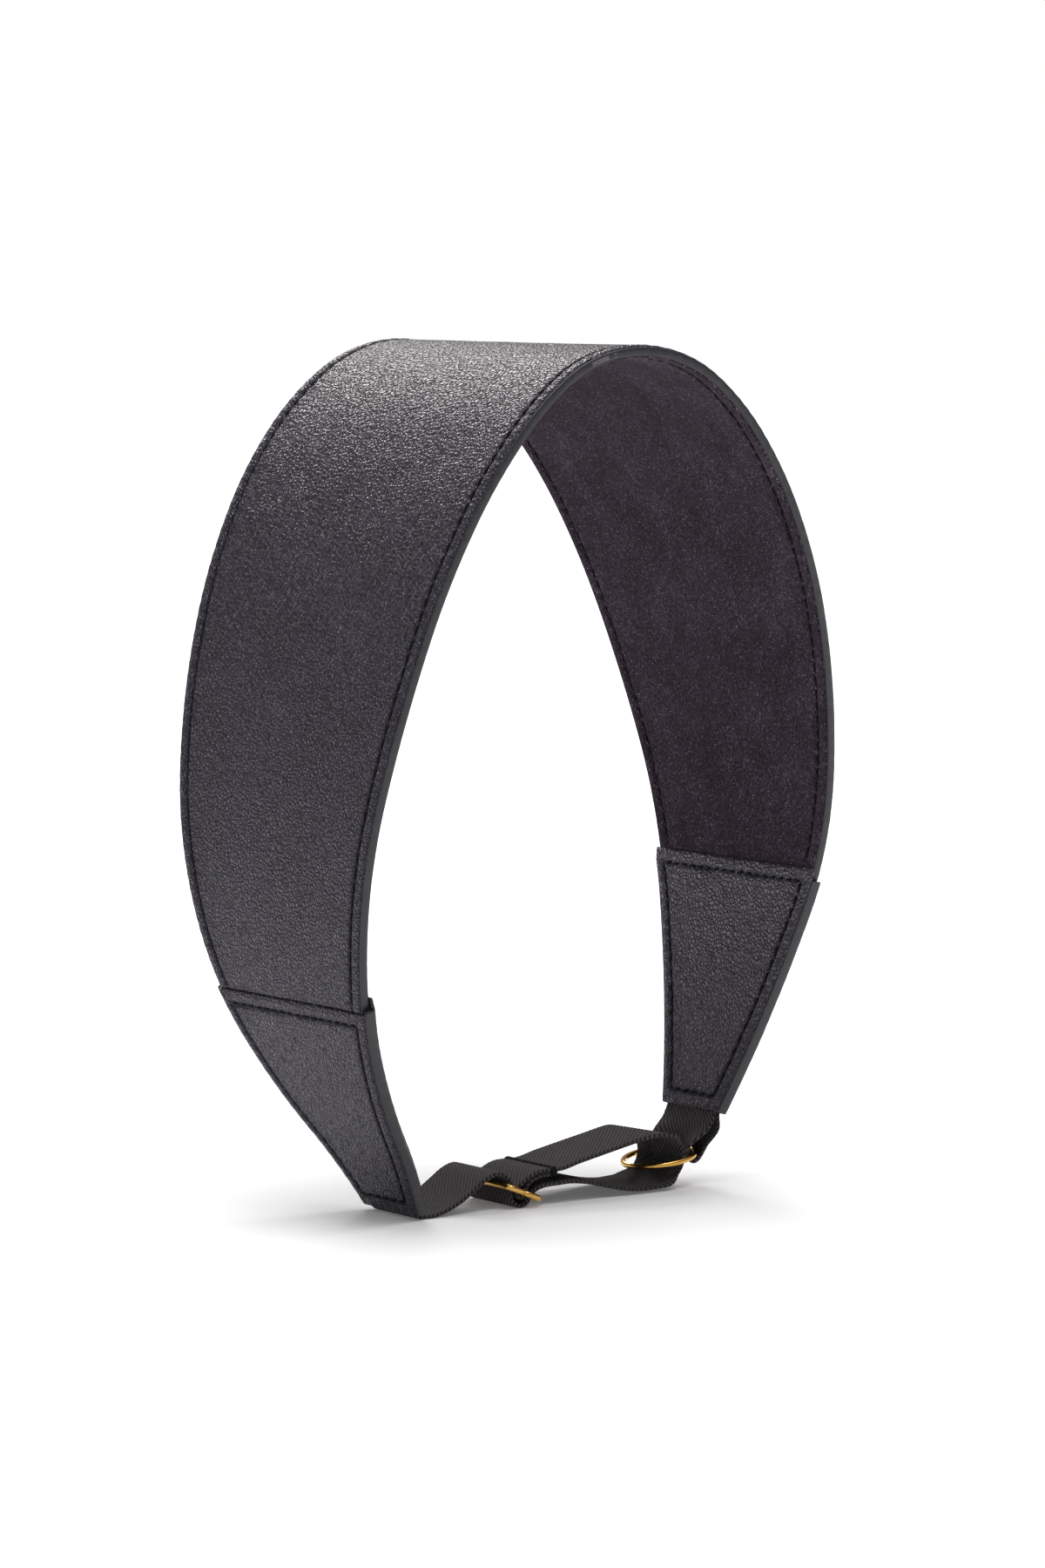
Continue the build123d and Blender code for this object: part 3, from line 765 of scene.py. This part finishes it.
# ======== materials ========
class Nodes:
    """A short way to build one material's nodes."""

    def __init__(self, name):
        self.material = bpy.data.materials.new(name)
        self.material.use_nodes = True
        self.tree = self.material.node_tree
        self.shader = self.tree.nodes["Principled BSDF"]
        self.links = self.tree.links

    def add(self, kind, **values):
        node = self.tree.nodes.new(kind)
        for key, value in values.items():
            if key in node.inputs:
                node.inputs[key].default_value = value
            else:
                setattr(node, key, value)
        return node

    def link(self, a, b):
        self.links.new(a, b)

    def place(self, flat=False):
        if flat:
            return self.add("ShaderNodeAttribute", attribute_name="flat").outputs["Vector"]
        return self.add("ShaderNodeTexCoord").outputs["Object"]

    def noise(self, where, scale, detail=3.0, rough=0.55):
        node = self.add("ShaderNodeTexNoise", Scale=scale, Detail=detail, Roughness=rough)
        self.link(where, node.inputs["Vector"])
        return node.outputs["Fac"]

    def cells(self, where, scale, feature="F1"):
        node = self.add("ShaderNodeTexVoronoi", Scale=scale, feature=feature)
        self.link(where, node.inputs["Vector"])
        return node.outputs["Distance"]

    def ramp(self, value, stops):
        node = self.add("ShaderNodeValToRGB")
        ramp = node.color_ramp
        for i, (at, colour) in enumerate(stops):
            stop = ramp.elements[i] if i < 2 else ramp.elements.new(at)
            stop.position = at
            stop.color = (*colour, 1.0)
        self.link(value, node.inputs["Fac"])
        return node.outputs["Color"]

    def math(self, operation, a, b=None, c=None):
        node = self.add("ShaderNodeMath", operation=operation)
        for i, value in enumerate((a, b, c)):
            if value is None:
                continue
            if isinstance(value, (int, float)):
                node.inputs[i].default_value = value
            else:
                self.link(value, node.inputs[i])
        return node.outputs["Value"]

    def scaled(self, where, factors):
        node = self.add("ShaderNodeVectorMath", operation="MULTIPLY")
        node.inputs[1].default_value = factors
        self.link(where, node.inputs[0])
        return node.outputs["Vector"]

    def bump(self, height, distance, strength=1.0, before=None):
        node = self.add("ShaderNodeBump", Strength=strength, Distance=distance)
        self.link(height, node.inputs["Height"])
        if before is not None:
            self.link(before, node.inputs["Normal"])
        return node.outputs["Normal"]


def leather(name, dark, light, rough, grain, depth, gloss=0.5, fade=None):
    """Pebbled leather: rounded cells with creases, pores, patches and uneven sheen, with painted shade
    in the creases and along the seam groove.

    fade is the pair of lengths between which a painted highlight on the pebble tops fades out towards
    the tips, while the roughness rises.
    """
    m = Nodes(name)
    where = m.place()
    cloud = m.noise(where, 45.0, 4.0)
    colour = m.ramp(cloud, [(0.35, dark), (0.68, light)])
    warp = m.add("ShaderNodeTexNoise", Scale=grain * 0.45, Detail=2.0)
    m.link(where, warp.inputs["Vector"])
    bent = m.add("ShaderNodeVectorMath", operation="MULTIPLY_ADD")
    m.link(warp.outputs["Color"], bent.inputs[0])
    bent.inputs[1].default_value = (0.9 / grain,) * 3
    m.link(where, bent.inputs[2])
    crease = m.cells(bent.outputs["Vector"], grain, "DISTANCE_TO_EDGE")
    fine = m.cells(where, grain * 2.1, "F1")
    creased = m.math("MINIMUM", m.math("MULTIPLY", crease, 3.0), 1.0)
    # painted shade: the colour is darkened down to 0.15 in the creases between the pebbles
    shade = m.add("ShaderNodeMix", data_type="RGBA", blend_type="MULTIPLY")
    shade.inputs["Factor"].default_value = 1.0
    m.link(colour, shade.inputs["A"])
    m.link(m.ramp(creased, [(0.0, (0.15,) * 3), (0.6, (1.0,) * 3)]), shade.inputs["B"])
    split = m.add("ShaderNodeSeparateXYZ")
    m.link(m.place(flat=True), split.inputs[0])
    off_seam = m.math("ABSOLUTE", m.math("SUBTRACT", split.outputs["Z"], SEAM))
    # painted shade: the colour is darkened to 0.35 within 0.25 mm of the stitch line, back to full by
    # 0.65 mm
    seam_shade = m.add("ShaderNodeMix", data_type="RGBA", blend_type="MULTIPLY")
    seam_shade.inputs["Factor"].default_value = 1.0
    m.link(shade.outputs["Result"], seam_shade.inputs["A"])
    m.link(m.ramp(off_seam, [(0.25, (0.35,) * 3), (0.65, (1.0,) * 3)]), seam_shade.inputs["B"])
    m.link(seam_shade.outputs["Result"], m.shader.inputs["Base Color"])
    uneven = m.noise(where, 420.0, 4.0)
    patchy = m.math("MULTIPLY_ADD", uneven, 0.34, rough - 0.17)
    seam_dull = m.math("SUBTRACT", 0.35, m.math("MULTIPLY", off_seam, 0.5))
    patchy = m.math("ADD", patchy, m.math("MAXIMUM", seam_dull, 0.0))
    deep = m.math("MAXIMUM", m.math("SUBTRACT", 0.35, creased), 0.0)
    patchy = m.math("ADD", patchy, m.math("MULTIPLY", deep, 1.3))
    if fade:
        worn = m.add("ShaderNodeMapRange")
        m.link(m.math("ABSOLUTE", split.outputs["X"]), worn.inputs["Value"])
        worn.inputs["From Min"].default_value = fade[0]
        worn.inputs["From Max"].default_value = fade[1]
        # painted highlight: a lighter colour is added on the pebble tops, fading out between the fade
        # lengths towards the tips
        painted_highlight = m.add("ShaderNodeMix", data_type="RGBA", blend_type="ADD")
        m.link(m.math("MULTIPLY", m.math("SUBTRACT", 1.0, worn.outputs["Result"]), creased),
               painted_highlight.inputs["Factor"])
        m.link(seam_shade.outputs["Result"], painted_highlight.inputs["A"])
        painted_highlight.inputs["B"].default_value = (0.050, 0.047, 0.054, 1.0)
        m.link(painted_highlight.outputs["Result"], m.shader.inputs["Base Color"])
        patchy = m.math("ADD", patchy, m.math("MULTIPLY", worn.outputs["Result"], 0.16))
    m.link(patchy, m.shader.inputs["Roughness"])
    swell = m.noise(where, grain * 0.33, 2.0)
    first = m.bump(swell, depth * 1.6, 0.8)
    second = m.bump(creased, depth, 0.9, first)
    third = m.bump(fine, depth * 0.3, 0.6, second)
    m.link(third, m.shader.inputs["Normal"])
    m.shader.inputs["Specular IOR Level"].default_value = gloss
    m.shader.inputs["Specular Tint"].default_value = (0.90, 0.83, 1.0, 1.0)
    return m.material


def suede_material():
    """Dark nap with soft patches and a few pale flecks."""
    m = Nodes("suede")
    where = m.place(flat=True)
    patch = m.noise(where, 0.07, 4.0, 0.6)
    nap = m.noise(m.scaled(where, (1.0, 0.6, 1.0)), 1.5, 6.0, 0.85)
    tone = m.math("ADD", m.math("MULTIPLY", patch, 0.14), m.math("MULTIPLY", nap, 0.88))
    colour = m.ramp(tone, [(0.42, (0.007, 0.005, 0.008)), (0.53, (0.036, 0.025, 0.038)),
                           (0.64, (0.165, 0.123, 0.161))])
    fleck = m.add("ShaderNodeTexVoronoi", Scale=1.25, Randomness=1.0)
    m.link(m.scaled(where, (1.0, 1.9, 1.0)), fleck.inputs["Vector"])
    chosen = m.add("ShaderNodeSeparateColor")
    m.link(fleck.outputs["Color"], chosen.inputs[0])
    rare = m.math("GREATER_THAN", chosen.outputs[0], 0.90)
    small = m.math("LESS_THAN", fleck.outputs["Distance"], 0.26)
    mixed = m.add("ShaderNodeMix", data_type="RGBA")
    m.link(m.math("MULTIPLY", m.math("MULTIPLY", rare, small), 0.8), mixed.inputs["Factor"])
    m.link(colour, mixed.inputs["A"])
    mixed.inputs["B"].default_value = (0.36, 0.34, 0.38, 1.0)
    m.link(mixed.outputs["Result"], m.shader.inputs["Base Color"])
    m.shader.inputs["Roughness"].default_value = 0.95
    m.shader.inputs["Specular IOR Level"].default_value = 0.1
    m.shader.inputs["Sheen Weight"].default_value = 0.12
    m.shader.inputs["Sheen Roughness"].default_value = 0.4
    m.shader.inputs["Sheen Tint"].default_value = (0.62, 0.52, 0.62, 1.0)
    fuzz = m.noise(where, 3.2, 4.0, 0.75)
    m.link(m.bump(fuzz, 0.0003, 0.9), m.shader.inputs["Normal"])
    return m.material


def paint_material():
    m = Nodes("edge_paint")
    where = m.place()
    cloud = m.noise(where, 120.0, 3.0)
    colour = m.ramp(cloud, [(0.3, (0.012, 0.011, 0.014)), (0.7, (0.020, 0.018, 0.023))])
    m.link(colour, m.shader.inputs["Base Color"])
    m.shader.inputs["Roughness"].default_value = 0.42
    fine = m.noise(where, 900.0, 2.0)
    m.link(m.bump(fine, 0.00008, 0.5), m.shader.inputs["Normal"])
    return m.material


def thread_material():
    m = Nodes("thread")
    where = m.place()
    strand = m.noise(where, 2400.0, 2.0)
    colour = m.ramp(strand, [(0.3, (0.002, 0.002, 0.003)), (0.7, (0.008, 0.007, 0.009))])
    m.link(colour, m.shader.inputs["Base Color"])
    m.shader.inputs["Roughness"].default_value = 0.6
    m.shader.inputs["Specular IOR Level"].default_value = 0.15
    m.link(m.bump(strand, 0.00006, 0.6), m.shader.inputs["Normal"])
    return m.material


def elastic_material():
    """Twill tape: fine diagonal ribs, thread by thread, with paler flecks."""
    m = Nodes("elastic")
    where = m.place(flat=True)
    split = m.add("ShaderNodeSeparateXYZ")
    m.link(where, split.inputs[0])
    s, y = split.outputs["X"], split.outputs["Y"]
    slant = m.math("ADD", s, y)
    rib = m.math("COSINE", m.math("MULTIPLY", slant, math.tau / TWILL_PITCH))
    cross = m.math("SINE", m.math("MULTIPLY", m.math("SUBTRACT", s, y), math.tau / THREAD_PITCH))
    weave = m.math("MULTIPLY_ADD", rib, 0.5, 0.5)
    blend = m.math("MULTIPLY", weave, m.math("ADD", m.math("MULTIPLY", cross, 0.3), 0.7))
    fleck = m.noise(where, 2.6, 3.0, 0.7)
    tone = m.math("ADD", m.math("MULTIPLY", blend, 0.55), m.math("MULTIPLY", fleck, 0.45))
    colour = m.ramp(tone, [(0.32, (0.002, 0.002, 0.002)), (0.52, (0.020, 0.015, 0.016)),
                           (0.70, (0.170, 0.138, 0.140))])
    m.link(colour, m.shader.inputs["Base Color"])
    m.shader.inputs["Roughness"].default_value = 0.85
    m.shader.inputs["Sheen Weight"].default_value = 0.1
    m.shader.inputs["Sheen Tint"].default_value = (0.7, 0.62, 0.64, 1.0)
    m.link(m.bump(blend, 0.0003, 1.0), m.shader.inputs["Normal"])
    return m.material


def gold_material():
    m = Nodes("gold")
    where = m.place()
    cloud = m.noise(where, 180.0, 3.0)
    colour = m.ramp(cloud, [(0.3, (0.74, 0.41, 0.09)), (0.7, (0.90, 0.56, 0.17))])
    m.link(colour, m.shader.inputs["Base Color"])
    m.shader.inputs["Metallic"].default_value = 1.0
    scuff = m.noise(where, 700.0, 3.0)
    rough = m.math("MULTIPLY_ADD", scuff, 0.14, 0.08)
    m.link(rough, m.shader.inputs["Roughness"])
    m.link(m.bump(scuff, 0.00002, 0.4), m.shader.inputs["Normal"])
    return m.material


def felt_material():
    m = Nodes("stiffener_felt")
    where = m.place()
    fluff = m.noise(where, 600.0, 4.0)
    colour = m.ramp(fluff, [(0.3, (0.09, 0.08, 0.08)), (0.7, (0.15, 0.14, 0.14))])
    m.link(colour, m.shader.inputs["Base Color"])
    m.shader.inputs["Roughness"].default_value = 0.95
    m.link(m.bump(fluff, 0.0002, 0.5), m.shader.inputs["Normal"])
    return m.material


OUTER_LEATHER = leather(
    "outer_leather", dark=(0.008, 0.006, 0.012), light=(0.017, 0.014, 0.026),
    rough=0.35, grain=950.0, depth=0.00028,
)
TAB_LEATHER = leather(
    "tab_leather", dark=(0.007, 0.006, 0.010), light=(0.014, 0.012, 0.019),
    rough=0.32, grain=860.0, depth=0.00052, gloss=1.0, fade=(158.0, 215.0),
)
SUEDE = suede_material()
PAINT_MATERIAL = paint_material()
THREAD = thread_material()
ELASTIC = elastic_material()
GOLD = gold_material()
FELT = felt_material()
BY_SLOT = {
    "outer_leather": OUTER_LEATHER, "tab_leather": TAB_LEATHER, "suede": SUEDE, "stiffener": FELT,
    "edge_paint": PAINT_MATERIAL, "thread": THREAD, "elastic": ELASTIC, "gold": GOLD,
}


def dress(obj, material):
    obj.data.materials.clear()
    obj.data.materials.append(material)


slot_of = {s["node"]: s["material_slot"] for s in frame["record"]["subparts"]}
for node, obj in frame["nodes"].items():
    dress(obj, BY_SLOT[slot_of[node]])
for obj in bpy.data.objects:
    if "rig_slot" in obj and obj.type == "MESH":
        dress(obj, BY_SLOT[obj["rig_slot"]])
for node in ("slider", "ring"):
    mesh = frame["nodes"][node].data
    mesh.polygons.foreach_set("use_smooth", [True] * len(mesh.polygons))

# ======== floor, light and camera ========
FLOOR = 6.0             # half the floor's side, in metres
corners = [(-FLOOR, -FLOOR, 0), (FLOOR, -FLOOR, 0), (FLOOR, FLOOR, 0), (-FLOOR, FLOOR, 0)]
floor_mesh = bpy.data.meshes.new("floor")
floor_mesh.from_pydata(corners, [], [(0, 1, 2, 3)])
floor = bpy.data.objects.new("floor", floor_mesh)
bpy.context.scene.collection.objects.link(floor)
floor_look = Nodes("floor")
floor_look.shader.inputs["Base Color"].default_value = (0.90, 0.90, 0.90, 1)
floor_look.shader.inputs["Roughness"].default_value = 0.5
floor_look.shader.inputs["Specular IOR Level"].default_value = 0.0
floor_look.shader.inputs["Emission Color"].default_value = (1, 1, 1, 1)
floor_look.shader.inputs["Emission Strength"].default_value = 0.09
dress(floor, floor_look.material)

# The studio: a white backdrop to the eye, darker walls and a bright ceiling as light.
world = bpy.data.worlds.new("studio")
world.use_nodes = True
# pairs of how far up the ray points (0 level, 1 straight up) and brightness
WALLS = ((0.0, 0.98), (0.13, 0.22), (0.60, 0.23), (0.90, 1.3))
tree = world.node_tree
room = tree.nodes["Background"]
direction = tree.nodes.new("ShaderNodeTexCoord")
height = tree.nodes.new("ShaderNodeSeparateXYZ")
walls = tree.nodes.new("ShaderNodeValToRGB")
for i, (at, value) in enumerate(WALLS):
    stop = walls.color_ramp.elements[i] if i < 2 else walls.color_ramp.elements.new(at)
    stop.position = at
    stop.color = (value, value * 0.985, value, 1.0)
backdrop = tree.nodes.new("ShaderNodeBackground")
seen = tree.nodes.new("ShaderNodeLightPath")
either = tree.nodes.new("ShaderNodeMixShader")
backdrop.inputs["Color"].default_value = (1.0, 1.0, 1.0, 1.0)
tree.links.new(direction.outputs["Generated"], height.inputs[0])
tree.links.new(height.outputs["Z"], walls.inputs["Fac"])
tree.links.new(walls.outputs["Color"], room.inputs["Color"])
tree.links.new(seen.outputs["Is Camera Ray"], either.inputs["Fac"])
tree.links.new(room.outputs["Background"], either.inputs[1])
tree.links.new(backdrop.outputs["Background"], either.inputs[2])
tree.links.new(either.outputs["Shader"], tree.nodes["World Output"].inputs["Surface"])
bpy.context.scene.world = world
bpy.context.scene.view_settings.view_transform = "Standard"


WARM = (1.0, 0.97, 0.93)


def softbox(name, place, aim, size, power):
    data = bpy.data.lights.new(name, "AREA")
    data.shape = "RECTANGLE"
    data.size, data.size_y = size
    data.energy = power
    data.color = WARM
    obj = bpy.data.objects.new(name, data)
    bpy.context.scene.collection.objects.link(obj)
    obj.location = place
    obj.rotation_mode = "QUATERNION"
    obj.rotation_quaternion = (Vector(aim) - Vector(place)).to_track_quat("-Z", "Y")


def overhead(strength, spread):
    """A wide soft light from straight above, the same all over the floor."""
    data = bpy.data.lights.new("overhead", "SUN")
    data.energy = strength
    data.angle = math.radians(spread)
    bpy.context.scene.collection.objects.link(bpy.data.objects.new("overhead", data))


softbox("back", place=(0.45, 1.25, 0.86), aim=(0, 0, 0.18), size=(0.55, 0.4), power=6.8)
overhead(strength=2.0, spread=50.0)

AZIMUTH, ELEVATION, DISTANCE = math.radians(35.29), math.radians(5.29), 1.4347
AIM_HEIGHT = 0.1034
LENS = 136.0
SHIFT_X, SHIFT_Y = 0.0052, -0.0034
away = Vector((
    math.sin(AZIMUTH) * math.cos(ELEVATION),
    math.cos(AZIMUTH) * math.cos(ELEVATION),
    -math.sin(ELEVATION),
))
camera_data = bpy.data.cameras.new("camera")
camera_data.lens = LENS
camera_data.sensor_width = 36.0
camera_data.shift_x = SHIFT_X
camera_data.shift_y = SHIFT_Y
camera = bpy.data.objects.new("camera", camera_data)
bpy.context.scene.collection.objects.link(camera)
camera.location = Vector((0, 0, AIM_HEIGHT)) - away * DISTANCE
camera.rotation_mode = "QUATERNION"
camera.rotation_quaternion = away.to_track_quat("-Z", "Y")
bpy.context.scene.camera = camera
